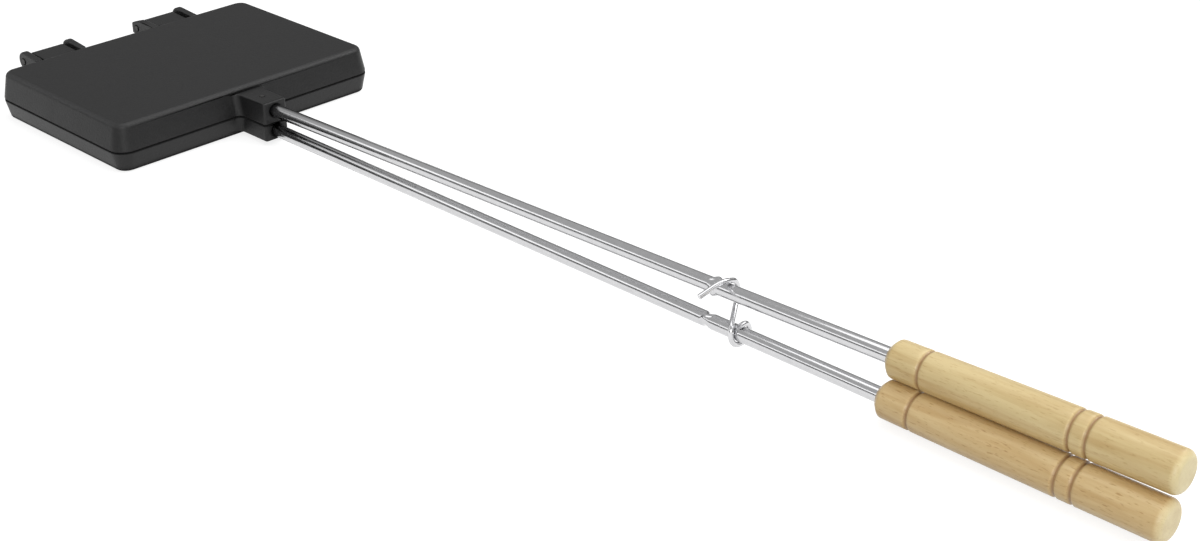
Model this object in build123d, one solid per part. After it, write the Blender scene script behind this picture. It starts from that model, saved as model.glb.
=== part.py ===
from build123d import *
import os
from math import acos, atan2, cos, degrees, hypot, radians, sin

# Long-handled cast-iron waffle iron for an open fire, in millimetres.
# Origin: centre of the lower plate's flat underside. +X runs along the plates' long side,
# +Y towards the hinges, -Y towards the grips, +Z up.

# Cast plates
plate_length = 202.0
plate_width = 146.0
plate_corner = 11.0
lower_height = 13.5
upper_height = 18.3
parting_gap = 0.3
lower_draft = 3.2
upper_draft = 3.5
lower_edge_round = 2.5
upper_edge_round = 4.0

# Cooking recess and its grid of pads
recess_wall = 9.0
recess_corner = 8.0
recess_draft = 1.5
lower_floor = 4.5
upper_roof = 6.0
pad_pitch = 13.7
pad_base = 10.2
pad_taper = 15.0
lower_pad_height = 5.0
upper_pad_height = 6.5
pads_along = 6
pads_across = 9
ridge_width = 8.0

# Half-bosses that hold the rods
boss_width = 17.6
boss_reach = 26.3
boss_bottom = 2.4
boss_top_drop = 3.5
boss_flare = 5.0
boss_round = 1.5
socket_depth = 26.0

# Rods: the places of their axes at the boss face and at the front of the grips
rod_diameter = 8.5
rod_gap_length = 492.6
lower_rod_start = (0.0, 8.5)
upper_rod_start = (0.0, 22.2)
lower_rod_end = (-4.0, 11.4)
upper_rod_end = (2.4, 30.9)

# Crimped ears that keep the latch from sliding forward
crimp_station = 378.0
crimp_length = 7.0
crimp_spread = 1.2
crimp_thickness = 4.7
crimp_round = 1.0
lower_crimp_tilt = -37.0
upper_crimp_tilt = 53.0
pinch_length = 3.5
pinch_depth = 0.7

# Cross pins that hold the rods in the bosses
cross_pin_diameter = 3.0
cross_pin_setback = 13.0
cross_pin_seat = 0.5

# Hinges
hinge_reach = 18.4
hinge_drop = 7.1
hinge_pin_diameter = 4.0
hinge_pin_proud = 0.5
hinge_pin_chamfer = 0.3
pin_clearance = 0.08
ear_radius = 6.3
ear_thickness = 5.0
square_ear_back = 6.4
square_ear_low = 4.6
square_ear_high = 3.0
square_ear_slope = 3.4
ear_top_fall = 1.5
knuckle_radius = 4.3
knuckle_width = 25.0
knuckle_gap = 2.0
left_hinge_centre = -49.5
right_hinge_centre = 41.0
knuckle_top_fall = 1.0
lid_wall_gap = 1.2
hinge_root = 5.0
hinge_foot = 10.0
leaf_sink = 1.0
leaf_bite_share = 0.6

# Wooden grips
grip_length = 158.4
grip_front_radius = 10.1
grip_mid_radius = 10.7
grip_back_radius = 10.9
grip_bore_depth = 60.0
grip_chamfer = 3.0
grip_end_round = 4.0
groove_width = 2.6
groove_depth = 0.9
groove_stations = (20.5, 103.6, 112.6)

# Wire latch on the lower rod
wire_diameter = 3.0
latch_station = 399.0
eye_gap = 0.25
eye_pitch = 3.4
eye_start_share = 0.35
eye_start_quarter = 2.7
eye_turn_share = 0.95
swing_gap = 0.3
far_leg_gap = 0.6
shank_foot = 4.5
shank_lean = 12.0
shank_turn = 12.0
crest_angle = 16.0
tail_angle = -19.0
tail_length = 15.0
tail_lean = 3.0
wire_bend = 4.0
hook_bend = 5.5
tail_bend = 16.0

# Values that follow from the ones above
rod_radius = rod_diameter / 2
wire_radius = wire_diameter / 2
hinge_pin_radius = hinge_pin_diameter / 2
parting_top = lower_height + parting_gap
total_height = parting_top + upper_height
near_wall = -plate_width / 2
far_wall = plate_width / 2
boss_face = near_wall - boss_reach
boss_top = total_height - boss_top_drop
hinge_y = far_wall + hinge_reach
hinge_z = total_height - hinge_drop
hinge_half = knuckle_width / 2 + knuckle_gap + ear_thickness
ear_inside = hinge_half - ear_thickness
hinge_arm_front = far_wall + lid_wall_gap
wall_bite = far_wall - leaf_bite_share * recess_wall
leaf_top = lower_height - leaf_sink
hinge_pin_length = 2 * (hinge_half + hinge_pin_proud)
ear_shift = ear_inside + ear_thickness / 2


def rod_point(start, end, station):
    """Point on a rod's axis, so far along Y from the boss face."""
    share = station / rod_gap_length
    x = start[0] + (end[0] - start[0]) * share
    z = start[1] + (end[1] - start[1]) * share
    return Vector(x, boss_face - station, z)


def rod_plane(start, end, station):
    """Plane across a rod: its normal runs to the grip, its X near +X, its Y near +Z."""
    along = (rod_point(start, end, rod_gap_length) - rod_point(start, end, 0)).normalized()
    across = Vector(0, 0, 1).cross(along)
    return Plane(origin=rod_point(start, end, station), x_dir=across, z_dir=along)


def round_bar(plane, radius, first, last):
    """Round bar along a plane's normal, between two distances from its origin."""
    bar = Cylinder(radius, last - first, align=(Align.CENTER, Align.CENTER, Align.MIN))
    return plane * Pos(0, 0, first) * bar


def plate_shell(height, draft, edge_round, facing):
    """Solid drafted slab, drawn at the parting face and drawn in away from it."""
    level = lower_height if facing < 0 else parting_top
    parting = Plane(origin=(0, 0, level), x_dir=(1, 0, 0), z_dir=(0, 0, facing))
    outline = parting * RectangleRounded(plate_length, plate_width, plate_corner)
    angle = degrees(atan2(draft, height))
    slab = extrude(outline, amount=height, taper=angle)
    outer = slab.faces().sort_by(Axis.Z)[0 if facing < 0 else -1]
    return fillet(outer.edges(), edge_round)


def recess_cutter(depth, facing):
    """Cooking recess, as the drafted solid that is cut from a plate."""
    level = lower_height if facing < 0 else parting_top
    parting = Plane(origin=(0, 0, level), x_dir=(1, 0, 0), z_dir=(0, 0, facing))
    length = plate_length - 2 * recess_wall
    width = plate_width - 2 * recess_wall
    outline = parting * RectangleRounded(length, width, recess_corner)
    return extrude(outline, amount=depth, taper=degrees(atan2(recess_draft, depth)))


def waffle_pads(level, height, facing):
    """Two fields of tapered square pads with a ridge between them."""
    floor = Plane(origin=(0, 0, level), x_dir=(1, 0, 0), z_dir=(0, 0, facing))
    field_shift = (pads_along * pad_pitch + ridge_width) / 2
    squares = Sketch()
    for side in (-1, 1):
        field = Pos(side * field_shift, 0) * GridLocations(pad_pitch, pad_pitch, pads_along, pads_across)
        squares += [spot * Rectangle(pad_base, pad_base) for spot in field]
    pads = extrude(floor * squares, amount=height, taper=pad_taper)
    ridge_length = plate_width - 2 * recess_wall - recess_draft
    ridge = extrude(floor * Rectangle(ridge_width, ridge_length), amount=height)
    return pads, ridge


def half_boss(bottom, top):
    """Block on the near wall that takes one rod."""
    length = boss_reach + recess_wall / 2
    middle = boss_face + length / 2
    block = Pos(0, middle, bottom) * Box(boss_width, length, top - bottom,
                                         align=(Align.CENTER, Align.CENTER, Align.MIN))
    front = block.edges().filter_by(Axis.Z).sort_by(Axis.Y)[:2]
    return fillet(front, boss_round)


def flared(plate):
    """Round the inside corners where the boss leaves the near wall."""
    beside_boss = plate.edges().filter_by(
        lambda e: abs(e.center().Y - near_wall) < lower_draft
        and abs(abs(e.center().X) - boss_width / 2) < boss_round
    )
    corners = beside_boss.group_by(SortBy.LENGTH)[-1]
    return fillet(corners, boss_flare)


def tangent_point(centre, radius, point, turn):
    """Where the line from a point touches a circle, on the side that turn names."""
    reach_y = point[0] - centre[0]
    reach_z = point[1] - centre[1]
    swing = turn * acos(radius / hypot(reach_y, reach_z))
    angle = atan2(reach_z, reach_y) + swing
    return (centre[0] + radius * cos(angle), centre[1] + radius * sin(angle))


def hinge_profile(points, radius, centre_x, width):
    """Hinge leaf: an outline in Y and Z joined to a disc round the pin, of some width in X."""
    side = Plane(origin=(centre_x - width / 2, 0, 0), x_dir=(0, 1, 0), z_dir=(1, 0, 0))
    outline = Polygon(*points, align=None)
    if radius:
        outline += Pos(hinge_y, hinge_z) * Circle(radius)
    return extrude(side * outline, amount=width)


def risen_points(radius, front_top):
    """Outline of a leaf that rises from the lower plate behind the lid's wall."""
    foot = (far_wall + hinge_foot, hinge_root)
    heel = tangent_point((hinge_y, hinge_z), radius, foot, 1)
    return [(wall_bite, hinge_root), foot, heel, (hinge_y, hinge_z),
            (hinge_y, hinge_z + radius), (hinge_arm_front, front_top),
            (hinge_arm_front, leaf_top), (wall_bite, leaf_top)]


def pin_hole(centre_x, radius):
    """Bore along X through one hinge."""
    return Pos(centre_x, hinge_y, hinge_z) * Rot(0, 90, 0) * Cylinder(radius, hinge_pin_length)


def lower_hinge_leaves():
    """Round ears on the left hinge and the knuckle on the right one."""
    ear_points = risen_points(ear_radius, hinge_z + ear_radius - ear_top_fall)
    leaves = []
    for side in (-1, 1):
        ear = hinge_profile(ear_points, ear_radius, left_hinge_centre + side * ear_shift, ear_thickness)
        leaves.append(ear - pin_hole(left_hinge_centre, hinge_pin_radius))
    knuckle_points = risen_points(knuckle_radius, hinge_z + knuckle_radius - knuckle_top_fall)
    knuckle = hinge_profile(knuckle_points, knuckle_radius, right_hinge_centre, knuckle_width)
    leaves.append(knuckle - pin_hole(right_hinge_centre, hinge_pin_radius + pin_clearance))
    return leaves


def lid_hinge_leaves():
    """A square ear and a round one on the right hinge, and the knuckle on the left one."""
    top = hinge_z + ear_radius
    underside = hinge_z - ear_radius
    end = hinge_y + square_ear_back
    square_points = [(wall_bite, underside), (end, hinge_z - square_ear_low),
                     (end, hinge_z + square_ear_high), (hinge_y - square_ear_slope, top), (wall_bite, top)]
    round_points = [(wall_bite, underside), (hinge_y, underside), (hinge_y, top),
                    (wall_bite, top - ear_top_fall)]
    knuckle_points = [(wall_bite, underside), (hinge_y, hinge_z - knuckle_radius),
                      (hinge_y, hinge_z + knuckle_radius),
                      (wall_bite, hinge_z + knuckle_radius - knuckle_top_fall)]
    square_ear = hinge_profile(square_points, 0, right_hinge_centre - ear_shift, ear_thickness)
    round_ear = hinge_profile(round_points, ear_radius, right_hinge_centre + ear_shift, ear_thickness)
    knuckle = hinge_profile(knuckle_points, knuckle_radius, left_hinge_centre, knuckle_width)
    pinned = pin_hole(right_hinge_centre, hinge_pin_radius)
    return [square_ear - pinned, round_ear - pinned,
            knuckle - pin_hole(left_hinge_centre, hinge_pin_radius + pin_clearance)]


def rod(start, end, crimp_tilt):
    """Straight steel rod, with its crimp near the latch turned to some angle."""
    face = rod_plane(start, end, 0)
    bar = round_bar(face, rod_radius, -socket_depth, rod_gap_length + grip_bore_depth)
    ears_width = 2 * (rod_radius + crimp_spread)
    ears = Box(crimp_thickness, ears_width, crimp_length)
    ears = fillet(ears.edges().filter_by(Axis.X), crimp_round)
    pinch = Box(rod_diameter, rod_diameter, pinch_length)
    pinch = fillet(pinch.edges().filter_by(Axis.Y), crimp_round)
    reach = rod_diameter - pinch_depth
    place = rod_plane(start, end, crimp_station) * Rot(0, 0, crimp_tilt - 90)
    bar = bar + place * ears
    bar = bar - place * Pos(reach, 0, 0) * pinch - place * Pos(-reach, 0, 0) * pinch
    return bar


def rod_socket(start, end):
    """Blind bore for a rod in its boss."""
    return round_bar(rod_plane(start, end, 0), rod_radius, -socket_depth, boss_reach)


def cross_pin(start, end, outer_level):
    """Pin across a rod, from the boss's outer face to just past the rod."""
    spot = rod_point(start, end, -cross_pin_setback)
    inner_level = spot.Z + (rod_radius + cross_pin_seat) * (1 if outer_level < spot.Z else -1)
    low = min(outer_level, inner_level)
    high = max(outer_level, inner_level)
    pin = Cylinder(cross_pin_diameter / 2, high - low, align=(Align.CENTER, Align.CENTER, Align.MIN))
    return Pos(spot.X, spot.Y, low) * pin


def hinge_pin(centre_x):
    """Steel pin of one hinge."""
    pin = Cylinder(hinge_pin_radius, hinge_pin_length)
    pin = chamfer(pin.edges(), hinge_pin_chamfer)
    return Pos(centre_x, hinge_y, hinge_z) * Rot(0, 90, 0) * pin


def grip_radius(station):
    """Radius of a grip, on a gentle curve through its front, middle and back radii."""
    share = station / grip_length
    front_part = grip_front_radius * (1 - share) * (1 - 2 * share)
    middle_part = grip_mid_radius * 4 * share * (1 - share)
    back_part = grip_back_radius * share * (2 * share - 1)
    return front_part + middle_part + back_part


def grip(start, end):
    """Turned wooden grip with three burnt grooves, bored for the rod."""
    heel_station = grip_length - grip_end_round
    shoulder = (grip_radius(grip_chamfer), grip_chamfer)
    front = (shoulder[0] - grip_chamfer, 0)
    middle = (grip_mid_radius, grip_length / 2)
    heel = (grip_radius(heel_station), heel_station)
    back = (heel[0] - grip_end_round, grip_length)
    outline = Line((0, 0), front) + Line(front, shoulder)
    outline += ThreePointArc(shoulder, middle, heel)
    outline += TangentArc(heel, back, tangent=(0, 1))
    outline += Line(back, (0, grip_length)) + Line((0, grip_length), (0, 0))
    body = revolve(Plane.XZ * make_face(outline), Axis.Z, 360)
    for station in groove_stations:
        ring = Pos(grip_radius(station) + groove_width / 2 - groove_depth, station)
        body -= revolve(Plane.XZ * ring * Circle(groove_width / 2), Axis.Z, 360)
    body -= Cylinder(rod_radius, grip_bore_depth, align=(Align.CENTER, Align.CENTER, Align.MIN))
    return rod_plane(start, end, rod_gap_length) * body


def tangent_corner(radius, first, second):
    """Where two lines meet that both touch a circle, at two angles from straight up."""
    middle = radians((first + second) / 2)
    reach = radius / cos(radians(first - second) / 2)
    return (reach * sin(middle), reach * cos(middle))


def latch():
    """One wire: an eye round the lower rod, a shank, and a hook over the upper rod."""
    eye = rod_radius + wire_radius + eye_gap
    hook_station = latch_station - shank_lean
    upper = rod_point(upper_rod_start, upper_rod_end, hook_station)
    lower = rod_point(lower_rod_start, lower_rod_end, hook_station)
    offset = upper - lower
    swing = hypot(offset.X, offset.Z) + rod_radius + wire_radius + swing_gap
    far_side = offset.X + rod_radius + wire_radius + far_leg_gap
    knee = tangent_corner(swing, crest_angle, tail_angle)
    slope = radians(crest_angle)
    crest = (far_side, (swing - far_side * sin(slope)) / cos(slope))
    fall = radians(tail_angle)
    tip = (knee[0] - tail_length * cos(fall), knee[1] + tail_length * sin(fall))
    step = eye_pitch / 4
    points = [
        (-eye * eye_start_share, eye, eye_start_quarter * step),
        (eye, eye, 2 * step),
        (eye, -eye, step),
        (-eye, -eye, 0),
        (-eye, shank_foot, -step),
        (far_side, shank_turn, -shank_lean),
        (far_side, crest[1], -shank_lean),
        (knee[0], knee[1], -shank_lean),
        (tip[0], tip[1], -shank_lean - tail_lean),
    ]
    corners = [eye * eye_turn_share] * 3 + [wire_bend] * 2 + [hook_bend, tail_bend]
    path = FilletPolyline(*points, radius=corners)
    section = Plane(origin=path @ 0, z_dir=path % 0) * Circle(wire_radius)
    wire = sweep(section, path=path)
    return rod_plane(lower_rod_start, lower_rod_end, latch_station) * wire


def lower_plate():
    """Lower half: plate, recess, pads, boss, round ears and right knuckle."""
    depth = lower_height - lower_floor
    plate = plate_shell(lower_height, lower_draft, lower_edge_round, -1) + half_boss(boss_bottom, lower_height)
    plate = flared(plate)
    plate -= recess_cutter(depth, -1)
    plate += waffle_pads(lower_floor, lower_pad_height, 1)
    plate += lower_hinge_leaves()
    plate -= rod_socket(lower_rod_start, lower_rod_end)
    return plate - cross_pin(lower_rod_start, lower_rod_end, boss_bottom)


def upper_plate():
    """Lid half: plate, recess, pads, boss, square ears and left knuckle."""
    roof = total_height - upper_roof
    plate = plate_shell(upper_height, upper_draft, upper_edge_round, 1) + half_boss(parting_top, boss_top)
    plate = flared(plate)
    plate -= recess_cutter(upper_height - upper_roof, 1)
    plate += waffle_pads(roof, upper_pad_height, -1)
    plate += lid_hinge_leaves()
    plate -= rod_socket(upper_rod_start, upper_rod_end)
    return plate - cross_pin(upper_rod_start, upper_rod_end, boss_top)


def pinned_rod(start, end, crimp_tilt, outer_level):
    """A rod with the hole that its cross pin fills."""
    return rod(start, end, crimp_tilt) - cross_pin(start, end, outer_level)


parts = {
    "lower_plate": lower_plate(),
    "upper_plate": upper_plate(),
    "hinge_pin_left": hinge_pin(left_hinge_centre),
    "hinge_pin_right": hinge_pin(right_hinge_centre),
    "lower_rod": pinned_rod(lower_rod_start, lower_rod_end, lower_crimp_tilt, boss_bottom),
    "upper_rod": pinned_rod(upper_rod_start, upper_rod_end, upper_crimp_tilt, boss_top),
    "lower_rod_pin": cross_pin(lower_rod_start, lower_rod_end, boss_bottom),
    "upper_rod_pin": cross_pin(upper_rod_start, upper_rod_end, boss_top),
    "lower_grip": grip(lower_rod_start, lower_rod_end),
    "upper_grip": grip(upper_rod_start, upper_rod_end),
    "latch_hook": latch(),
}

os.makedirs("parts", exist_ok=True)
for name, shape in parts.items():
    export_step(shape, f"parts/{name}.step")
    print(name, len(shape.solids()), "solid", round(shape.volume / 1000, 2), "cm3")
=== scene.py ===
from math import acos, cos, hypot, pi, radians, sin, tan

import bmesh
import bpy
from bpy.props import FloatProperty, FloatVectorProperty, PointerProperty
from mathutils import Matrix, Vector


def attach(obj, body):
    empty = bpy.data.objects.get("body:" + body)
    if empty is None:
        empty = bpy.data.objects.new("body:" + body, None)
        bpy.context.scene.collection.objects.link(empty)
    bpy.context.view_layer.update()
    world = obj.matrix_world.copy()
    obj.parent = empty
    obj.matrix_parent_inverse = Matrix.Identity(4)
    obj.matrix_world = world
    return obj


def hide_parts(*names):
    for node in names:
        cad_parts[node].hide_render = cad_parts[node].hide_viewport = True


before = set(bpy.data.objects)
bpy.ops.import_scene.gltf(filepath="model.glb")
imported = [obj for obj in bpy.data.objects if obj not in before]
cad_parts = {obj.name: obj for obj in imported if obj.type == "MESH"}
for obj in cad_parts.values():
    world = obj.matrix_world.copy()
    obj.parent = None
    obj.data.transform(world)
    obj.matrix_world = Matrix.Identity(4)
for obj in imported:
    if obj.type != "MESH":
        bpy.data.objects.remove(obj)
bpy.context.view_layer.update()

bl_info = {
    "name": "Campfire Waffle Iron",
    "version": (1, 0, 0),
    "blender": (4, 5, 0),
    "location": "3D View > Sidebar > Waffle Iron",
    "description": "Cast plates, plated rods, wooden grips and wire latch of a campfire waffle iron",
    "category": "Object",
}

MM = 0.001

# Points nearer than this are one point
WELD = 0.001 * MM

# Colour sockets of Blender's Mix node
MIX_FIRST = 6
MIX_SECOND = 7
MIX_COLOUR = 2

# Middle of the gap between the two plates
PARTING_LEVEL = 13.65 * MM


# Sizes and colours that a user may change

class CastingSettings(bpy.types.PropertyGroup):
    """Finish of the two cast plates."""
    edge_width: FloatProperty(
        name="Edge width", description="Width of the rounding on the cast edges",
        default=1.0 * MM, min=0.0, unit="LENGTH")
    colour: FloatVectorProperty(
        name="Colour", description="Seasoned cast iron", subtype="COLOR",
        size=3, default=(0.0112, 0.0112, 0.0114), min=0.0, max=1.0)
    # Pale iron for rubbed edges, which partly stands for painted edge highlights, and for the painted sheen
    # on the top roundings
    wear_and_sheen_colour: FloatVectorProperty(
        name="Worn colour", description="Iron where the edges rub", subtype="COLOR",
        size=3, default=(0.045, 0.045, 0.046), min=0.0, max=1.0)
    grain_size: FloatProperty(
        name="Grain size", description="Size of the sand-cast grain",
        default=1.1 * MM, min=0.0001, unit="LENGTH")


class RodSettings(bpy.types.PropertyGroup):
    """Sizes and finish of the rods."""
    diameter: FloatProperty(
        name="Diameter", description="Diameter of each rod",
        default=8.5 * MM, min=0.001, unit="LENGTH")
    start_lower: FloatVectorProperty(
        name="Lower start", description="Axis of the lower rod at the boss face",
        size=3, default=(0.0, -99.3 * MM, 8.5 * MM), unit="LENGTH")
    start_upper: FloatVectorProperty(
        name="Upper start", description="Axis of the upper rod at the boss face",
        size=3, default=(0.0, -99.3 * MM, 22.2 * MM), unit="LENGTH")
    end_lower: FloatVectorProperty(
        name="Lower end", description="Axis of the lower rod at the front of its grip",
        size=3, default=(-4.0 * MM, -591.9 * MM, 11.4 * MM), unit="LENGTH")
    end_upper: FloatVectorProperty(
        name="Upper end", description="Axis of the upper rod at the front of its grip",
        size=3, default=(2.4 * MM, -591.9 * MM, 30.9 * MM), unit="LENGTH")
    crimp_station: FloatProperty(
        name="Crimp station", description="Distance of the crimp from the boss face",
        default=378.0 * MM, unit="LENGTH")
    colour: FloatVectorProperty(
        name="Colour", description="Bright plating", subtype="COLOR",
        size=3, default=(0.62, 0.62, 0.63), min=0.0, max=1.0)


class GripSettings(bpy.types.PropertyGroup):
    """Sizes and colours of the wooden grips."""
    length: FloatProperty(
        name="Length", description="Length of each grip", default=158.4 * MM, unit="LENGTH")
    front_radius: FloatProperty(
        name="Front radius", description="Radius at the rod end", default=10.1 * MM, unit="LENGTH")
    middle_radius: FloatProperty(
        name="Middle radius", description="Radius half way", default=10.7 * MM, unit="LENGTH")
    back_radius: FloatProperty(
        name="Back radius", description="Radius at the free end", default=10.9 * MM, unit="LENGTH")
    upper_colour: FloatVectorProperty(
        name="Upper colour", description="Wood of the upper grip", subtype="COLOR",
        size=3, default=(0.73, 0.575, 0.29), min=0.0, max=1.0)
    lower_colour: FloatVectorProperty(
        name="Lower colour", description="Wood of the lower grip", subtype="COLOR",
        size=3, default=(0.73, 0.545, 0.275), min=0.0, max=1.0)


class LatchSettings(bpy.types.PropertyGroup):
    """Sizes of the wire latch."""
    wire_diameter: FloatProperty(
        name="Wire", description="Diameter of the wire", default=3.0 * MM, unit="LENGTH")
    station: FloatProperty(
        name="Station", description="Distance of the eye from the boss face",
        default=399.0 * MM, unit="LENGTH")


class StageSettings(bpy.types.PropertyGroup):
    """Camera, floor and light."""
    camera_place: FloatVectorProperty(
        name="Camera place", description="Where the camera stands",
        size=3, default=(-0.68901, -1.08341, 0.50332), unit="LENGTH")
    azimuth: FloatProperty(
        name="Azimuth", description="Turn of the view about Z",
        default=radians(-44.958), subtype="ANGLE")
    elevation: FloatProperty(
        name="Elevation", description="Height of the view above the floor",
        default=radians(26.862), subtype="ANGLE")
    roll: FloatProperty(
        name="Roll", description="Tilt of the frame", default=radians(-0.634), subtype="ANGLE")
    lens: FloatProperty(
        name="Lens", description="Focal length in millimetres on a 36 mm sensor",
        default=59.32, min=1.0)
    floor_size: FloatProperty(
        name="Floor size", description="Side of the pale floor", default=12.0, unit="LENGTH")


# Small helpers

def settings(name):
    """One of the property groups above, from the current scene."""
    return getattr(bpy.context.scene, name)


def link(piece):
    """Put a new object in the scene."""
    bpy.context.scene.collection.objects.link(piece)
    return piece


def finish_piece(name, shape, body, nodes, material, sharp=35.0):
    """Turn a bmesh into an object that rides on a body and stands for its CAD nodes."""
    mesh = bpy.data.meshes.new(name)
    shape.to_mesh(mesh)
    shape.free()
    for face in mesh.polygons:
        face.use_smooth = True
    mesh.set_sharp_from_angle(angle=radians(sharp))
    piece = link(bpy.data.objects.new(name, mesh))
    piece.data.materials.append(material)
    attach(piece, body)
    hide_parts(*nodes)
    return piece


def rod_frame(start, end, station):
    """Placement on a rod: Z runs to the grip, X lies near +X, Y near +Z."""
    start = Vector(start)
    end = Vector(end)
    along = (end - start).normalized()
    across = Vector((0, 0, 1)).cross(along).normalized()
    rise = along.cross(across)
    share = station / (start.y - end.y)
    place = Matrix((across, rise, along)).transposed().to_4x4()
    place.translation = start + (end - start) * share
    return place


def rods():
    """Name, start and end of both rods."""
    rod = settings("iron_rods")
    return (
        ("lower", Vector(rod.start_lower), Vector(rod.end_lower)),
        ("upper", Vector(rod.start_upper), Vector(rod.end_upper)),
    )


# Body that carries the pieces of each half
BODY_OF = {"lower": "lower_half", "upper": "lid"}


# Shader groups and materials

def new_group(name, inputs, outputs):
    """Empty shader node group with named sockets."""
    group = bpy.data.node_groups.new(name, "ShaderNodeTree")
    for label, kind, default in inputs:
        socket = group.interface.new_socket(name=label, in_out="INPUT", socket_type=kind)
        socket.default_value = default
    for label, kind in outputs:
        group.interface.new_socket(name=label, in_out="OUTPUT", socket_type=kind)
    return group


def add(tree, kind, **values):
    """New node with its properties set."""
    node = tree.nodes.new(kind)
    for key, value in values.items():
        setattr(node, key, value)
    return node


def calc(tree, operation, first, second=None, third=None):
    """Math node fed by sockets or plain numbers."""
    node = add(tree, "ShaderNodeMath", operation=operation)
    for number, value in enumerate((first, second, third)):
        if value is None:
            continue
        if isinstance(value, (int, float)):
            node.inputs[number].default_value = value
        else:
            tree.links.new(value, node.inputs[number])
    return node.outputs[0]


def span(tree, value, low, high, to_low=0.0, to_high=1.0):
    """Map a value from one range to another, clamped."""
    node = add(tree, "ShaderNodeMapRange", clamp=True)
    tree.links.new(value, node.inputs["Value"])
    node.inputs["From Min"].default_value = low
    node.inputs["From Max"].default_value = high
    node.inputs["To Min"].default_value = to_low
    node.inputs["To Max"].default_value = to_high
    return node.outputs["Result"]


def mix(tree, share, first, second, blend="MIX"):
    """Blend two colours by a share."""
    node = add(tree, "ShaderNodeMix", data_type="RGBA", blend_type=blend)
    sockets = (node.inputs["Factor"], node.inputs[MIX_FIRST], node.inputs[MIX_SECOND])
    for socket, value in zip(sockets, (share, first, second)):
        if isinstance(value, bpy.types.NodeSocket):
            tree.links.new(value, socket)
        elif isinstance(value, (int, float)):
            socket.default_value = value
        else:
            socket.default_value = (*value, 1.0)
    return node.outputs[MIX_COLOUR]


def noise(tree, vector, scale, detail, roughness, distortion=0.0):
    """Noise value over a vector."""
    node = add(tree, "ShaderNodeTexNoise")
    node.inputs["Scale"].default_value = scale
    node.inputs["Detail"].default_value = detail
    node.inputs["Roughness"].default_value = roughness
    node.inputs["Distortion"].default_value = distortion
    tree.links.new(vector, node.inputs["Vector"])
    return node.outputs["Fac"]


def object_place(tree):
    """Object coordinates as one vector."""
    return add(tree, "ShaderNodeTexCoord").outputs["Object"]


def axis_of(tree, vector, axis):
    """One axis of a vector."""
    split = add(tree, "ShaderNodeSeparateXYZ")
    tree.links.new(vector, split.inputs[0])
    return split.outputs[axis]


def stretch(tree, vector, along):
    """Vector drawn out along Y, so that a pattern runs with the bar."""
    node = add(tree, "ShaderNodeMapping")
    node.inputs["Scale"].default_value = (1.0, along, 1.0)
    tree.links.new(vector, node.inputs["Vector"])
    return node.outputs["Vector"]


def group_edge_wear_and_highlight():
    """Mask that is white on outer edges, broken up by noise: rubbed edges, and in part a painted edge
    highlight.
    """
    flat, bent = 0.995, 0.86
    group = new_group(
        "edge_wear_and_highlight",
        [("Width", "NodeSocketFloat", 1.0 * MM), ("Break-up", "NodeSocketFloat", 900.0)],
        [("Mask", "NodeSocketFloat")])
    source = add(group, "NodeGroupInput")
    sink = add(group, "NodeGroupOutput")
    bevel = add(group, "ShaderNodeBevel", samples=6)
    group.links.new(source.outputs["Width"], bevel.inputs["Radius"])
    surface = add(group, "ShaderNodeNewGeometry")
    facing = add(group, "ShaderNodeVectorMath", operation="DOT_PRODUCT")
    group.links.new(bevel.outputs["Normal"], facing.inputs[0])
    group.links.new(surface.outputs["Normal"], facing.inputs[1])
    edge = span(group, facing.outputs["Value"], flat, bent)
    spots = add(group, "ShaderNodeTexNoise")
    group.links.new(object_place(group), spots.inputs["Vector"])
    group.links.new(source.outputs["Break-up"], spots.inputs["Scale"])
    rubbed_and_sheen = span(group, spots.outputs["Fac"], 0.35, 0.65, 0.35, 1.0)
    group.links.new(calc(group, "MULTIPLY", edge, rubbed_and_sheen), sink.inputs["Mask"])
    return group


def group_crevice():
    """Openness, which falls in narrow gaps and along a level seam and sets painted shade there, and a mask
    of rounded edges that sets a painted sheen.
    """
    # The lowest openness in gaps and on the seam sets how dark the painted shade goes
    shut, clear, gap_shade_floor = 0.55, 0.95, 0.06
    seam_core, seam_edge, seam_shade_floor = 0.35, 0.62, 0.1
    group = new_group(
        "crevice",
        [("Reach", "NodeSocketFloat", 3.0 * MM), ("Seam level", "NodeSocketFloat", 0.0),
         ("Seam width", "NodeSocketFloat", 1.0 * MM)],
        [("Openness", "NodeSocketFloat"), ("Rounding", "NodeSocketFloat")])
    source = add(group, "NodeGroupInput")
    sink = add(group, "NodeGroupOutput")
    gap = add(group, "ShaderNodeAmbientOcclusion", samples=8)
    group.links.new(source.outputs["Reach"], gap.inputs["Distance"])
    open_gap = span(group, gap.outputs["AO"], shut, clear, gap_shade_floor, 1.0)
    height = axis_of(group, object_place(group), "Z")
    away = calc(group, "ABSOLUTE", calc(group, "SUBTRACT", height, source.outputs["Seam level"]))
    steps = calc(group, "DIVIDE", away, source.outputs["Seam width"])
    surface = add(group, "ShaderNodeNewGeometry")
    turned = add(
        group, "ShaderNodeVectorTransform", vector_type="NORMAL", convert_from="WORLD",
        convert_to="OBJECT")
    group.links.new(surface.outputs["Normal"], turned.inputs[0])
    slope = calc(group, "ABSOLUTE", axis_of(group, turned.outputs[0], "Z"))
    level_face = span(group, slope, 0.93, 0.99)
    rounding = calc(group, "MULTIPLY", span(group, slope, 0.25, 0.55), span(group, slope, 0.995, 0.9))
    group.links.new(rounding, sink.inputs["Rounding"])
    seam = span(group, steps, seam_core, seam_edge, seam_shade_floor, 1.0)
    open_seam = calc(group, "MAXIMUM", seam, level_face)
    group.links.new(calc(group, "MINIMUM", open_gap, open_seam), sink.inputs["Openness"])
    return group


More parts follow.
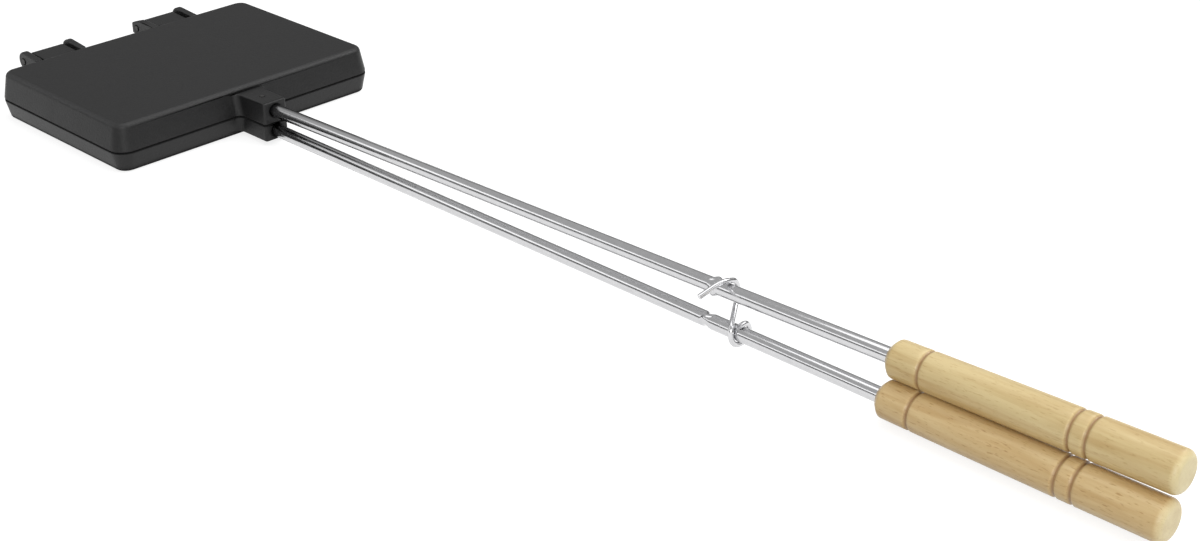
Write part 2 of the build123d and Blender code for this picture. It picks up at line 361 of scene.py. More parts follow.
def group_surface_grain():
    """Fine grain height and a slow mottle, at a named size in metres."""
    grain_share, pit_share = 0.75, 0.25
    pit_rate = 0.55
    group = new_group(
        "surface_grain",
        [("Size", "NodeSocketFloat", 1.0 * MM), ("Mottle size", "NodeSocketFloat", 30.0 * MM)],
        [("Height", "NodeSocketFloat"), ("Mottle", "NodeSocketFloat")])
    source = add(group, "NodeGroupInput")
    sink = add(group, "NodeGroupOutput")
    place = object_place(group)
    fine = add(group, "ShaderNodeTexNoise")
    fine.inputs["Detail"].default_value = 4.0
    fine.inputs["Roughness"].default_value = 0.62
    broad = add(group, "ShaderNodeTexNoise")
    broad.inputs["Detail"].default_value = 3.0
    pits = add(group, "ShaderNodeTexVoronoi")
    for texture in (fine, broad, pits):
        group.links.new(place, texture.inputs["Vector"])
    rate = calc(group, "DIVIDE", 1.0, source.outputs["Size"])
    group.links.new(rate, fine.inputs["Scale"])
    group.links.new(calc(group, "MULTIPLY", rate, pit_rate), pits.inputs["Scale"])
    group.links.new(calc(group, "DIVIDE", 1.0, source.outputs["Mottle size"]), broad.inputs["Scale"])
    pit = calc(group, "MULTIPLY", span(group, pits.outputs["Distance"], 0.0, 0.5), pit_share)
    height = calc(group, "MULTIPLY_ADD", fine.outputs["Fac"], grain_share, pit)
    group.links.new(height, sink.inputs["Height"])
    group.links.new(broad.outputs["Fac"], sink.inputs["Mottle"])
    return group


def group_wood_figure():
    """Grain of a turned grip along Y: colour, height and roughness."""
    grain_stretch, pore_stretch = 0.06, 0.14
    band_scale, fine_scale, pore_scale = 160.0, 900.0, 1500.0
    group = new_group(
        "wood_figure",
        [("Light", "NodeSocketColor", (0.8, 0.6, 0.3, 1.0)),
         ("Dark", "NodeSocketColor", (0.5, 0.3, 0.15, 1.0)),
         ("Shift", "NodeSocketFloat", 0.0), ("Pores", "NodeSocketFloat", 0.5)],
        [("Colour", "NodeSocketColor"), ("Height", "NodeSocketFloat"), ("Roughness", "NodeSocketFloat")])
    source = add(group, "NodeGroupInput")
    sink = add(group, "NodeGroupOutput")
    shift = add(group, "ShaderNodeCombineXYZ")
    for axis in ("X", "Y", "Z"):
        group.links.new(source.outputs["Shift"], shift.inputs[axis])
    moved = add(group, "ShaderNodeVectorMath", operation="ADD")
    group.links.new(object_place(group), moved.inputs[0])
    group.links.new(shift.outputs[0], moved.inputs[1])
    lines = stretch(group, moved.outputs[0], grain_stretch)
    broad = noise(group, lines, band_scale, 3.0, 0.55, 0.6)
    fine = noise(group, lines, fine_scale, 4.0, 0.6)
    pore = noise(group, stretch(group, moved.outputs[0], pore_stretch), pore_scale, 2.0, 0.5)
    pore_mask = calc(group, "MULTIPLY", span(group, pore, 0.60, 0.70), source.outputs["Pores"])
    band = span(group, broad, 0.32, 0.68)
    tone = calc(group, "MULTIPLY_ADD", band, 0.65, calc(group, "MULTIPLY", fine, 0.35))
    figured = mix(group, span(group, tone, 0.25, 0.85), source.outputs["Light"], source.outputs["Dark"])
    dark_pore = mix(group, pore_mask, figured, source.outputs["Dark"], "MULTIPLY")
    group.links.new(dark_pore, sink.inputs["Colour"])
    depth = calc(group, "SUBTRACT", calc(group, "MULTIPLY", fine, 0.3), pore_mask)
    group.links.new(depth, sink.inputs["Height"])
    group.links.new(span(group, broad, 0.2, 0.8, 0.38, 0.5), sink.inputs["Roughness"])
    return group


def use_group(tree, name, **values):
    """Place a shared group in a material, with its own input values."""
    node = add(tree, "ShaderNodeGroup")
    node.node_tree = bpy.data.node_groups[name]
    for key, value in values.items():
        node.inputs[key.replace("_", " ")].default_value = value
    return node


def bump(tree, height, distance):
    """Bump node from a height in 0 to 1 and a depth in metres."""
    node = add(tree, "ShaderNodeBump")
    node.inputs["Strength"].default_value = 1.0
    node.inputs["Distance"].default_value = distance
    tree.links.new(height, node.inputs["Height"])
    return node.outputs["Normal"]


def scaled(colour, share):
    """Colour made darker or paler by a share."""
    return tuple(min(1.0, channel * share) for channel in colour)


def blank_material(name):
    """Material with an empty tree, its Principled shader and output."""
    material = bpy.data.materials.new(name)
    material.use_nodes = True
    tree = material.node_tree
    tree.nodes.clear()
    shader = add(tree, "ShaderNodeBsdfPrincipled")
    output = add(tree, "ShaderNodeOutputMaterial")
    tree.links.new(shader.outputs["BSDF"], output.inputs["Surface"])
    return material, tree, shader


def cast_iron_material():
    """Seasoned black iron: sand-cast grain, slow mottle, rubbed edges that are partly a painted edge
    highlight, a painted sheen on the top roundings, and painted shade in the gaps and along the parting
    seam.
    """
    mottle_size, edge_mask_width = 28.0 * MM, 1.1 * MM
    crevice_reach, seam_width = 6.0 * MM, 2.0 * MM
    grain_depth = 0.17 * MM
    rounding_sheen = 0.5
    casting = settings("iron_casting")
    material, tree, shader = blank_material("seasoned_cast_iron")
    grain = use_group(tree, "surface_grain", Size=casting.grain_size, Mottle_size=mottle_size)
    wear_and_highlight = use_group(tree, "edge_wear_and_highlight", Width=edge_mask_width)
    crevice = use_group(
        tree, "crevice", Reach=crevice_reach, Seam_level=PARTING_LEVEL, Seam_width=seam_width)
    openness = crevice.outputs["Openness"]
    base = tuple(casting.colour)
    slow = mix(tree, span(tree, grain.outputs["Mottle"], 0.3, 0.7), scaled(base, 0.8), scaled(base, 1.35))
    speckled = mix(tree, span(tree, grain.outputs["Height"], 0.35, 0.75), scaled(base, 0.75), slow)
    # Painted sheen: the tilted faces of the top roundings are paled towards the pale wear colour, standing
    # in for their highlight
    rubbed_and_sheen = calc(tree, "MULTIPLY", crevice.outputs["Rounding"], rounding_sheen)
    # Rubbed edges, partly a painted edge highlight, and the painted sheen on the roundings take the pale
    # colour
    wear_and_sheen = mix(
        tree, calc(tree, "MAXIMUM", wear_and_highlight.outputs["Mask"], rubbed_and_sheen), speckled, tuple(casting.wear_and_sheen_colour))
    # Painted shade: the colour falls to a tenth of the iron's in narrow gaps and in a band along the
    # parting seam
    tree.links.new(mix(tree, openness, scaled(base, 0.1), wear_and_sheen), shader.inputs["Base Color"])
    rough = span(tree, grain.outputs["Mottle"], 0.25, 0.75, 0.40, 0.48)
    # Rougher where the painted shade is, which dulls the highlights there too
    rough_in_shade = span(tree, openness, 0.06, 0.8, 0.95, 0.0)
    tree.links.new(calc(tree, "MAXIMUM", rough, rough_in_shade), shader.inputs["Roughness"])
    shader.inputs["Specular IOR Level"].default_value = 0.34
    tree.links.new(bump(tree, grain.outputs["Height"], grain_depth), shader.inputs["Normal"])
    return material


def plated_material(name, colour, roughness):
    """Bright plating with faint drawing lines along the bar."""
    line_stretch, line_scale, line_depth = 0.02, 2600.0, 0.012 * MM
    haze_scale, haze_spread = 240.0, 0.07
    material, tree, shader = blank_material(name)
    place = object_place(tree)
    lines = noise(tree, stretch(tree, place, line_stretch), line_scale, 2.0, 0.5)
    haze = noise(tree, place, haze_scale, 3.0, 0.55)
    tint = mix(tree, span(tree, haze, 0.3, 0.7), scaled(colour, 0.93), colour)
    tree.links.new(tint, shader.inputs["Base Color"])
    shader.inputs["Metallic"].default_value = 1.0
    rough = span(tree, haze, 0.3, 0.75, roughness, roughness + haze_spread)
    tree.links.new(rough, shader.inputs["Roughness"])
    tree.links.new(bump(tree, lines, line_depth), shader.inputs["Normal"])
    return material


def pin_material():
    """Plain steel pins, darkened by fire."""
    burnt_steel, pale_steel = (0.028, 0.027, 0.026), (0.06, 0.058, 0.056)
    grain_size, mottle_size, grain_depth = 0.6 * MM, 5.0 * MM, 0.03 * MM
    material, tree, shader = blank_material("darkened_pin_steel")
    grain = use_group(tree, "surface_grain", Size=grain_size, Mottle_size=mottle_size)
    mottle = grain.outputs["Mottle"]
    colour = mix(tree, span(tree, mottle, 0.35, 0.65), burnt_steel, pale_steel)
    tree.links.new(colour, shader.inputs["Base Color"])
    shader.inputs["Metallic"].default_value = 0.4
    tree.links.new(span(tree, mottle, 0.3, 0.7, 0.4, 0.55), shader.inputs["Roughness"])
    tree.links.new(bump(tree, grain.outputs["Height"], grain_depth), shader.inputs["Normal"])
    return material


def wood_material(name, colour, shift, pores, free_end):
    """Varnished turned hardwood with burnt groove lines and a painted highlight, a pale yellow, on the free
    end's face and rounding.
    """
    burnt_colour, end_light_colour = (0.34, 0.19, 0.08), (0.9, 0.82, 0.5)
    end_start, end_full, end_light_share = 3.6 * MM, 0.4 * MM, 0.5
    dark_shares = (0.78, 0.68, 0.55)
    pore_depth = 0.05 * MM
    material, tree, shader = blank_material(name)
    figure = use_group(tree, "wood_figure", Shift=shift, Pores=pores)
    figure.inputs["Light"].default_value = (*colour, 1.0)
    dark = tuple(channel * share for channel, share in zip(colour, dark_shares))
    figure.inputs["Dark"].default_value = (*dark, 1.0)
    burn = add(tree, "ShaderNodeAttribute", attribute_name="burnt")
    burnt = mix(tree, burn.outputs["Fac"], figure.outputs["Colour"], burnt_colour)
    along = axis_of(tree, object_place(tree), "Y")
    # Painted highlight: the last few millimetres at the free end are paled towards a light yellow, standing
    # in for the light the end catches
    painted_end_light = span(tree, along, free_end + end_start, free_end + end_full, 0.0, end_light_share)
    tree.links.new(mix(tree, painted_end_light, burnt, end_light_colour), shader.inputs["Base Color"])
    tree.links.new(figure.outputs["Roughness"], shader.inputs["Roughness"])
    shader.inputs["Specular IOR Level"].default_value = 0.45
    shader.inputs["Coat Weight"].default_value = 0.25
    shader.inputs["Coat Roughness"].default_value = 0.22
    tree.links.new(bump(tree, figure.outputs["Height"], pore_depth), shader.inputs["Normal"])
    return material


# Pieces

class IRON_OT_casting(bpy.types.Operator):
    """Round the cast edges of both plates and give them seasoned iron"""
    bl_idname = "iron.casting"
    bl_label = "Cast plates"

    MERGE = 0.002 * MM
    FLAT = radians(0.4)
    SHARP = radians(40.0)

    def execute(self, context):
        material = cast_iron_material()
        width = settings("iron_casting").edge_width
        for half, body in BODY_OF.items():
            node = f"{half}_plate"
            shape = bmesh.new()
            shape.from_mesh(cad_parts[node].data)
            bmesh.ops.remove_doubles(shape, verts=shape.verts, dist=self.MERGE)
            bmesh.ops.dissolve_limit(
                shape, angle_limit=self.FLAT, verts=shape.verts, edges=shape.edges,
                delimit={"NORMAL"})
            piece = finish_piece(f"{half}_casting", shape, body, [node], material, sharp=32.0)
            rounding = piece.modifiers.new("cast_edges", "BEVEL")
            rounding.width = width
            rounding.segments = 2
            rounding.limit_method = "ANGLE"
            rounding.angle_limit = self.SHARP
            rounding.use_clamp_overlap = False
            rounding.harden_normals = True
        return {"FINISHED"}


class IRON_OT_rods(bpy.types.Operator):
    """Make both plated rods, with their crimped ears"""
    bl_idname = "iron.rods"
    bl_label = "Rods"

    SIDES = 64
    SOCKET = 25.9 * MM
    BORE = 59.9 * MM
    CRIMP_LENGTH = 7.0 * MM
    CRIMP_SPREAD = 1.2 * MM
    CRIMP_PINCH = 0.9 * MM
    CRIMP_STEPS = 14
    CRIMP_TILTS = {"lower": radians(-37.0 - 90.0), "upper": radians(53.0 - 90.0)}
    RIM = 0.4 * MM
    ROUGHNESS = 0.13

    def execute(self, context):
        rod = settings("iron_rods")
        material = plated_material("bright_rod_plating", tuple(rod.colour), self.ROUGHNESS)
        radius = rod.diameter / 2
        for half, start, end in rods():
            gap = start.y - end.y
            length = self.SOCKET + gap + self.BORE
            shape = bmesh.new()
            bmesh.ops.create_cone(
                shape, cap_ends=True, segments=self.SIDES, radius1=radius, radius2=radius, depth=length)
            bmesh.ops.translate(shape, verts=shape.verts, vec=(0, 0, length / 2 - self.SOCKET))
            rims = [e for e in shape.edges if abs(e.verts[0].co.z - e.verts[1].co.z) < WELD]
            bmesh.ops.bevel(
                shape, geom=rims, offset=self.RIM, segments=2, profile=0.5, affect="EDGES", material=-1)
            self.crimp(shape, rod.crimp_station, radius, self.CRIMP_TILTS[half])
            shape.transform(rod_frame(start, end, 0.0))
            finish_piece(f"{half}_rod_bar", shape, BODY_OF[half], [f"{half}_rod"], material)
        return {"FINISHED"}

    def crimp(self, shape, station, radius, tilt):
        """Pinch a short stretch flat, so that it spreads into two ears."""
        first = station - self.CRIMP_LENGTH / 2
        for step in range(self.CRIMP_STEPS + 1):
            level = first + self.CRIMP_LENGTH * step / self.CRIMP_STEPS
            bmesh.ops.bisect_plane(
                shape, geom=shape.verts[:] + shape.edges[:] + shape.faces[:],
                plane_co=(0, 0, level), plane_no=(0, 0, 1))
        turn = Matrix.Rotation(tilt, 4, "Z")
        back = turn.inverted()
        for vert in shape.verts:
            reach = abs(vert.co.z - station) / (self.CRIMP_LENGTH / 2)
            if reach < 1.0:
                share = cos(reach * pi / 2) ** 2
                local = back @ vert.co
                ear = abs(local.y) / radius
                local.y *= 1 + share * ear ** 3 * self.CRIMP_SPREAD / radius
                local.x *= 1 - share * (abs(local.x) / radius) ** 2 * self.CRIMP_PINCH / radius
                vert.co = turn @ local


class IRON_OT_grips(bpy.types.Operator):
    """Turn both wooden grips, with their burnt grooves"""
    bl_idname = "iron.grips"
    bl_label = "Grips"

    STEPS = 96
    CHAMFER = 3.0 * MM
    END_ROUND = 4.0 * MM
    END_STEPS = 8
    BORE = 60.0 * MM
    BORE_FIT = 0.02 * MM
    MOUTH_DEPTH = 0.6 * MM
    MOUTH_WIDTH = 0.5 * MM
    GROOVES = (20.5 * MM, 103.6 * MM, 112.6 * MM)
    GROOVE_HALF = 1.3 * MM
    GROOVE_LIP = 0.3 * MM
    GROOVE_DEPTH = 0.9 * MM
    GROOVE_STEPS = 6
    GROOVE_SHAPE = 1.4
    BURN_SHAPE = 1.2
    BURN_SPREAD = 1.25
    RING_PITCH = 3.0 * MM

    # Room without rings beside the chamfer, the grooves and the rounded end
    AFTER_CHAMFER = 2.0 * MM
    BEFORE_GROOVE = 0.8 * MM
    AFTER_GROOVE = 1.2 * MM
    BEFORE_END = 1.0 * MM

    # Across and along the chamfer, in chamfer widths, with softened corners
    CHAMFER_POINTS = ((-1.2, 0.0), (-0.98, 0.05), (-0.8, 0.2), (-0.2, 0.8), (-0.05, 0.98), (0.0, 1.2))

    def execute(self, context):
        grip = settings("iron_grips")
        free_end = settings("iron_rods").end_lower[1] - grip.length
        finishes = {
            "upper": wood_material("upper_grip_wood_grain", tuple(grip.upper_colour), 0.37, 0.35, free_end),
            "lower": wood_material("lower_grip_wood_grain", tuple(grip.lower_colour), 1.91, 0.55, free_end),
        }
        for half, start, end in rods():
            shape = bmesh.new()
            burnt = shape.verts.layers.float.new("burnt")
            verts = []
            for radius, station, mark in self.profile(grip):
                vert = shape.verts.new((radius, 0, station))
                vert[burnt] = mark
                verts.append(vert)
            edges = [shape.edges.new(pair) for pair in zip(verts, verts[1:])]
            bmesh.ops.spin(
                shape, geom=verts + edges, cent=(0, 0, 0), axis=(0, 0, 1), angle=2 * pi,
                steps=self.STEPS, use_merge=True)
            bmesh.ops.remove_doubles(shape, verts=shape.verts, dist=WELD)
            bmesh.ops.recalc_face_normals(shape, faces=shape.faces)
            shape.transform(rod_frame(start, end, start.y - end.y))
            finish_piece(
                f"{half}_grip_turning", shape, BODY_OF[half], [f"{half}_grip"],
                finishes[half], sharp=40.0)
        return {"FINISHED"}

    def radius_at(self, grip, station):
        """Radius of the grip at a distance from the front."""
        share = station / grip.length
        front_part = grip.front_radius * (1 - share) * (1 - 2 * share)
        middle_part = grip.middle_radius * 4 * share * (1 - share)
        back_part = grip.back_radius * share * (2 * share - 1)
        return front_part + middle_part + back_part

    def profile(self, grip):
        """Points of radius, station and burn, from the bore round the outside to the bore's floor."""
        bore = settings("iron_rods").diameter / 2 + self.BORE_FIT
        points = [
            (0.0, self.BORE, 0.0),
            (bore, self.BORE, 0.0),
            (bore, self.MOUTH_DEPTH, 0.2),
            (bore + self.MOUTH_WIDTH, 0.0, 0.3),
        ]
        shoulder = self.radius_at(grip, self.CHAMFER)
        for across, along in self.CHAMFER_POINTS:
            points.append((shoulder + self.CHAMFER * across, self.CHAMFER * along, 0.0))
        station = self.CHAMFER + self.AFTER_CHAMFER
        for groove in self.GROOVES:
            while station < groove - self.GROOVE_HALF - self.BEFORE_GROOVE:
                points.append((self.radius_at(grip, station), station, 0.0))
                station += self.RING_PITCH
            points += self.groove(grip, groove)
            station = groove + self.GROOVE_HALF + self.AFTER_GROOVE
        back = grip.length - self.END_ROUND
        while station < back - self.BEFORE_END:
            points.append((self.radius_at(grip, station), station, 0.0))
            station += self.RING_PITCH
        rear = self.radius_at(grip, back)
        for turn in range(self.END_STEPS + 1):
            angle = pi / 2 * turn / self.END_STEPS
            points.append((
                rear - self.END_ROUND * (1 - cos(angle)), back + self.END_ROUND * sin(angle), 0.0))
        points.append((0.0, grip.length, 0.0))
        return points

    def groove(self, grip, centre):
        """Rounded groove with softened lips, burnt at its floor."""
        points = []
        for step in range(-self.GROOVE_STEPS, self.GROOVE_STEPS + 1):
            share = step / self.GROOVE_STEPS
            station = centre + share * (self.GROOVE_HALF + self.GROOVE_LIP)
            depth = self.GROOVE_DEPTH * max(0.0, 1 - share * share) ** self.GROOVE_SHAPE
            burn = max(0.0, 1 - abs(share) ** self.BURN_SHAPE * self.BURN_SPREAD)
            points.append((self.radius_at(grip, station) - depth, station, burn))
        return points


class IRON_OT_latch(bpy.types.Operator):
    """Bend the wire latch: eye, shank and hook"""
    bl_idname = "iron.latch"
    bl_label = "Latch"

    EYE_GAP = 0.25 * MM
    EYE_BEND = 0.95
    LEAD = 0.35
    LEAD_STEPS = 2.7
    PITCH = 3.4 * MM
    SWING_GAP = 0.3 * MM
    FAR_GAP = 0.6 * MM
    FOOT = 4.5 * MM
    TURN = 12.0 * MM
    LEAN = 12.0 * MM
    CREST = radians(16.0)
    TAIL = radians(-19.0)
    TAIL_LENGTH = 15.0 * MM
    TAIL_LEAN = 3.0 * MM
    BEND = 4.0 * MM
    HOOK_BEND = 5.5 * MM
    TAIL_BEND = 16.0 * MM
    TIP_ROUND = 0.5 * MM
    COLOUR = (0.66, 0.66, 0.67)
    ROUGHNESS = 0.16

    def execute(self, context):
        rod = settings("iron_rods")
        latch = settings("iron_latch")
        points, radii = self.route(rod, latch)
        curve = bpy.data.curves.new("latch_route", "CURVE")
        curve.dimensions = "3D"
        curve.resolution_u = 10
        curve.bevel_depth = latch.wire_diameter / 2
        curve.bevel_resolution = 8
        curve.use_fill_caps = True
        self.fill(curve.splines.new("BEZIER"), points, radii)
        holder = link(bpy.data.objects.new("latch_route", curve))
        context.view_layer.update()
        mesh = bpy.data.meshes.new_from_object(
            holder.evaluated_get(context.evaluated_depsgraph_get()))
        shape = bmesh.new()
        shape.from_mesh(mesh)
        bpy.data.objects.remove(holder)
        bpy.data.curves.remove(curve)
        bpy.data.meshes.remove(mesh)
        bmesh.ops.remove_doubles(shape, verts=shape.verts, dist=WELD)
        caps = [f for f in shape.faces if len(f.verts) > 4]
        rims = {e for f in caps for e in f.edges}
        bmesh.ops.bevel(
            shape, geom=list(rims), offset=self.TIP_ROUND, segments=3, profile=0.5, affect="EDGES",
            material=-1)
        bmesh.ops.recalc_face_normals(shape, faces=shape.faces)
        shape.transform(rod_frame(rod.start_lower, rod.end_lower, latch.station))
        finish_piece(
            "latch_wire_bend", shape, "latch", ["latch_hook"],
            plated_material("bright_latch_plating", self.COLOUR, self.ROUGHNESS))
        return {"FINISHED"}

    def tangent_corner(self, radius, first, second):
        """Where two lines meet that both touch a circle, at two angles from straight up."""
        middle = (first + second) / 2
        reach = radius / cos((first - second) / 2)
        return (reach * sin(middle), reach * cos(middle))

    def route(self, rod, latch):
        """Corner points of the wire, in the lower rod's own frame, and their bend radii."""
        wire = latch.wire_diameter / 2
        radius = rod.diameter / 2
        eye = radius + wire + self.EYE_GAP
        hook = latch.station - self.LEAN
        upper = rod_frame(rod.start_upper, rod.end_upper, hook).translation
        lower = rod_frame(rod.start_lower, rod.end_lower, hook).translation
        offset = upper - lower
        swing = hypot(offset.x, offset.z) + radius + wire + self.SWING_GAP
        far = offset.x + radius + wire + self.FAR_GAP
        knee = self.tangent_corner(swing, self.CREST, self.TAIL)
        crest = (swing - far * sin(self.CREST)) / cos(self.CREST)
        tip = (knee[0] - self.TAIL_LENGTH * cos(self.TAIL), knee[1] + self.TAIL_LENGTH * sin(self.TAIL))
        step = self.PITCH / 4
        points = [
            (-eye * self.LEAD, eye, self.LEAD_STEPS * step),
            (eye, eye, 2 * step),
            (eye, -eye, step),
            (-eye, -eye, 0),
            (-eye, self.FOOT, -step),
            (far, self.TURN, -self.LEAN),
            (far, crest, -self.LEAN),
            (knee[0], knee[1], -self.LEAN),
            (tip[0], tip[1], -self.LEAN - self.TAIL_LEAN),
        ]
        radii = [eye * self.EYE_BEND] * 3 + [self.BEND] * 2 + [self.HOOK_BEND, self.TAIL_BEND]
        return [Vector(p) for p in points], radii

    def fill(self, spline, points, radii):
        """Give a spline the straight runs and round bends of the wire."""
        knots = [(points[0], None, None)]
        for before, corner, after, radius in zip(points, points[1:], points[2:], radii):
            into = (corner - before).normalized()
            out = (after - corner).normalized()
            turn = acos(max(-1.0, min(1.0, into.dot(out))))
            back = radius * tan(turn / 2)
            handle = radius * 4 / 3 * tan(turn / 4)
            enter = corner - into * back
            leave = corner + out * back
            knots.append((enter, None, enter + into * handle))
            knots.append((leave, leave - out * handle, None))
        knots.append((points[-1], None, None))
        spline.bezier_points.add(len(knots) - 1)
        for number, (place, left, right) in enumerate(knots):
            bezier = spline.bezier_points[number]
            bezier.co = place
            bezier.handle_left_type = "FREE"
            bezier.handle_right_type = "FREE"
            previous = knots[number - 1][0] if number else place
            following = knots[number + 1][0] if number + 1 < len(knots) else place
            bezier.handle_left = left if left is not None else place.lerp(previous, 1 / 3)
            bezier.handle_right = right if right is not None else place.lerp(following, 1 / 3)


class IRON_OT_pins(bpy.types.Operator):
    """Give the hinge pins and cross pins darkened steel"""
    bl_idname = "iron.pins"
    bl_label = "Pins"

    NODES = ("hinge_pin_left", "hinge_pin_right", "lower_rod_pin", "upper_rod_pin")

    def execute(self, context):
        material = pin_material()
        for node in self.NODES:
            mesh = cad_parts[node].data
            mesh.materials.clear()
            mesh.materials.append(material)
        return {"FINISHED"}


class IRON_OT_stage(bpy.types.Operator):
    """Add the pale floor, the light and the camera"""
    bl_idname = "iron.stage"
    bl_label = "Stage"

    # The floor lies just under the rest face, so that the two never share a plane
    FLOOR_DROP = 0.3 * MM
    FLOOR_COLOUR = (0.4, 0.4, 0.4, 1.0)
    FLOOR_GLOW = 0.79

    # Height of a direction and how bright the surroundings are there, in reflections
    LEVELS = ((0.0, 0.12), (0.27, 0.13), (0.40, 0.33), (1.0, 0.35))
    STREAK = 0.9
    LIGHT = 0.55
    SHINE = 1.6
    WHITE = (1.0, 1.0, 1.0, 1.0)

    # Name, place, target, size and power of each soft lamp
    LAMPS = (
        ("top_softbox", (0.3, -0.4, 1.9), (0.0, -0.3, 0.0), 1.6, 11.0),
        ("left_softbox", (-1.2, -1.9, 0.7), (0.0, -0.6, 0.0), 0.9, 12.0),
        ("high_softbox", (0.88, -0.69, 0.9), (0.0, -0.05, 0.0), 0.6, 4.0),
        ("front_softbox", (0.5, -2.3, 0.9), (0.0, -0.6, 0.0), 1.0, 4.0),
    )

    def execute(self, context):
        stage = settings("iron_stage")
        self.floor(stage)
        self.world()
        self.lamps()
        self.camera(stage)
        context.scene.view_settings.view_transform = "Standard"
        return {"FINISHED"}

    def floor(self, stage):
        """Pale floor that shows white and keeps a soft shadow."""
        shape = bmesh.new()
        bmesh.ops.create_grid(shape, x_segments=1, y_segments=1, size=stage.floor_size / 2)
        bmesh.ops.translate(shape, verts=shape.verts, vec=(0, 0, -self.FLOOR_DROP))
        mesh = bpy.data.meshes.new("pale_floor")
        shape.to_mesh(mesh)
        shape.free()
        floor = link(bpy.data.objects.new("pale_floor", mesh))
        material, tree, shader = blank_material("pale_floor")
        shader.inputs["Base Color"].default_value = self.FLOOR_COLOUR
        shader.inputs["Roughness"].default_value = 0.9
        shader.inputs["Specular IOR Level"].default_value = 0.0
        path = add(tree, "ShaderNodeLightPath")
        seen = calc(tree, "MAXIMUM", path.outputs["Is Camera Ray"], path.outputs["Is Glossy Ray"])
        seen = calc(tree, "MAXIMUM", seen, path.outputs["Is Transmission Ray"])
        glow = calc(tree, "MULTIPLY", seen, self.FLOOR_GLOW)
        shader.inputs["Emission Color"].default_value = self.WHITE
        tree.links.new(glow, shader.inputs["Emission Strength"])
        mesh.materials.append(material)

    def world(self):
        """White to the camera, and in reflections a dark horizon, a bright streak and a grey sky."""
        world = bpy.data.worlds.new("studio")
        bpy.context.scene.world = world
        world.use_nodes = True
        tree = world.node_tree
        tree.nodes.clear()
        output = add(tree, "ShaderNodeOutputWorld")
        direction = add(tree, "ShaderNodeTexCoord").outputs["Generated"]
        height = axis_of(tree, direction, "Z")
        bands = add(tree, "ShaderNodeValToRGB")
        while len(bands.color_ramp.elements) < len(self.LEVELS):
            bands.color_ramp.elements.new(0.5)
        for stop, (position, grey) in zip(bands.color_ramp.elements, self.LEVELS):
            stop.position = position
            stop.color = (grey, grey, grey, 1.0)
        tree.links.new(height, bands.inputs["Fac"])
        rising = span(tree, height, 0.27, 0.31)
        falling = span(tree, height, 0.49, 0.42)
        leftward = span(tree, axis_of(tree, direction, "X"), -0.1, -0.3)
        streak = calc(tree, "MULTIPLY", calc(tree, "MULTIPLY", rising, falling), leftward)
        level = calc(tree, "MULTIPLY_ADD", streak, self.STREAK, bands.outputs["Color"])
        light = self.background(tree, self.LIGHT)
        shine = self.background(tree, self.SHINE)
        tree.links.new(level, shine.inputs["Color"])
        white = self.background(tree, 1.0)
        path = add(tree, "ShaderNodeLightPath")
        unseen = self.choose(tree, path.outputs["Is Glossy Ray"], light.outputs[0], shine.outputs[0])
        shown = self.choose(tree, path.outputs["Is Camera Ray"], unseen, white.outputs[0])
        tree.links.new(shown, output.inputs["Surface"])

    def background(self, tree, strength):
        """White background shader of one strength."""
        node = add(tree, "ShaderNodeBackground")
        node.inputs["Color"].default_value = self.WHITE
        node.inputs["Strength"].default_value = strength
        return node

    def choose(self, tree, share, first, second):
        """One of two shaders, by a ray's kind."""
        node = add(tree, "ShaderNodeMixShader")
        for number, source in enumerate((share, first, second)):
            tree.links.new(source, node.inputs[number])
        return node.outputs[0]

    def lamps(self):
        """Soft light from above and the left front, for the lid's near edge and the grips' ends."""
        for name, place, target, size, power in self.LAMPS:
            lamp = bpy.data.lights.new(name, "AREA")
            lamp.shape = "SQUARE"
            lamp.size = size
            lamp.energy = power
            holder = link(bpy.data.objects.new(name, lamp))
            holder.location = place
            aim = Vector(target) - Vector(place)
            holder.rotation_euler = aim.to_track_quat("-Z", "Y").to_euler()

    def camera(self, stage):
        """Camera at the photograph's viewing angle."""
        azimuth = stage.azimuth
        elevation = stage.elevation
        back = Vector((sin(azimuth) * cos(elevation), -cos(azimuth) * cos(elevation), sin(elevation)))
        right = (-back).cross(Vector((0, 0, 1))).normalized()
        up = right.cross(-back)
        turned_right = right * cos(stage.roll) + up * sin(stage.roll)
        turned_up = up * cos(stage.roll) - right * sin(stage.roll)
        data = bpy.data.cameras.new("camera")
        data.sensor_width = 36.0
        data.lens = stage.lens
        camera = link(bpy.data.objects.new("camera", data))
        place = Matrix((turned_right, turned_up, back)).transposed().to_4x4()
        place.translation = Vector(stage.camera_place)
        camera.matrix_world = place
        bpy.context.scene.camera = camera


class IRON_PT_panel(bpy.types.Panel):
    """Lists the pieces of the waffle iron"""
    bl_label = "Waffle Iron"
    bl_idname = "IRON_PT_panel"
    bl_space_type = "VIEW_3D"
    bl_region_type = "UI"
    bl_category = "Waffle Iron"

    def draw(self, context):
        for operator in OPERATORS:
            self.layout.operator(operator.bl_idname)


SETTINGS = {
    "iron_casting": CastingSettings,
    "iron_rods": RodSettings,
    "iron_grips": GripSettings,
    "iron_latch": LatchSettings,
    "iron_stage": StageSettings,
}
OPERATORS = (IRON_OT_casting, IRON_OT_rods, IRON_OT_grips, IRON_OT_latch, IRON_OT_pins, IRON_OT_stage)


def register():
    for group in SETTINGS.values():
        bpy.utils.register_class(group)
    for name, group in SETTINGS.items():
        setattr(bpy.types.Scene, name, PointerProperty(type=group))
    for operator in OPERATORS:
        bpy.utils.register_class(operator)
    bpy.utils.register_class(IRON_PT_panel)


def unregister():
    bpy.utils.unregister_class(IRON_PT_panel)
    for operator in reversed(OPERATORS):
        bpy.utils.unregister_class(operator)
    for name, group in SETTINGS.items():
        delattr(bpy.types.Scene, name)
        bpy.utils.unregister_class(group)


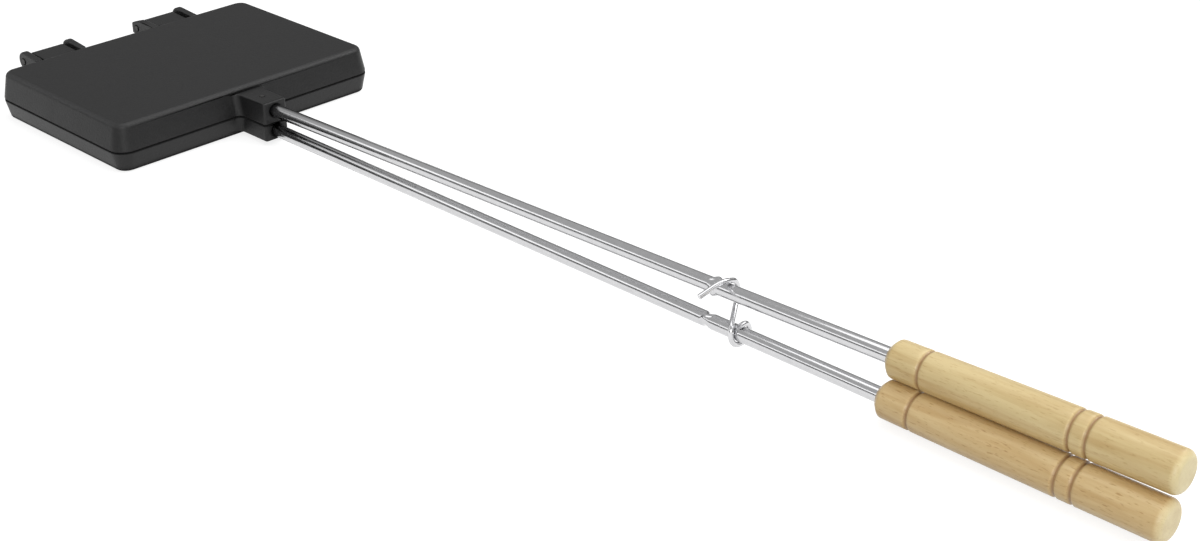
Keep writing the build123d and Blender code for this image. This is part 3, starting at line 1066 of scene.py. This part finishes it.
def main():
    register()
    group_edge_wear_and_highlight()
    group_crevice()
    group_surface_grain()
    group_wood_figure()
    bpy.ops.iron.casting()
    bpy.ops.iron.rods()
    bpy.ops.iron.grips()
    bpy.ops.iron.latch()
    bpy.ops.iron.pins()
    bpy.ops.iron.stage()
    bpy.context.view_layer.update()


if __name__ == "__main__":
    main()
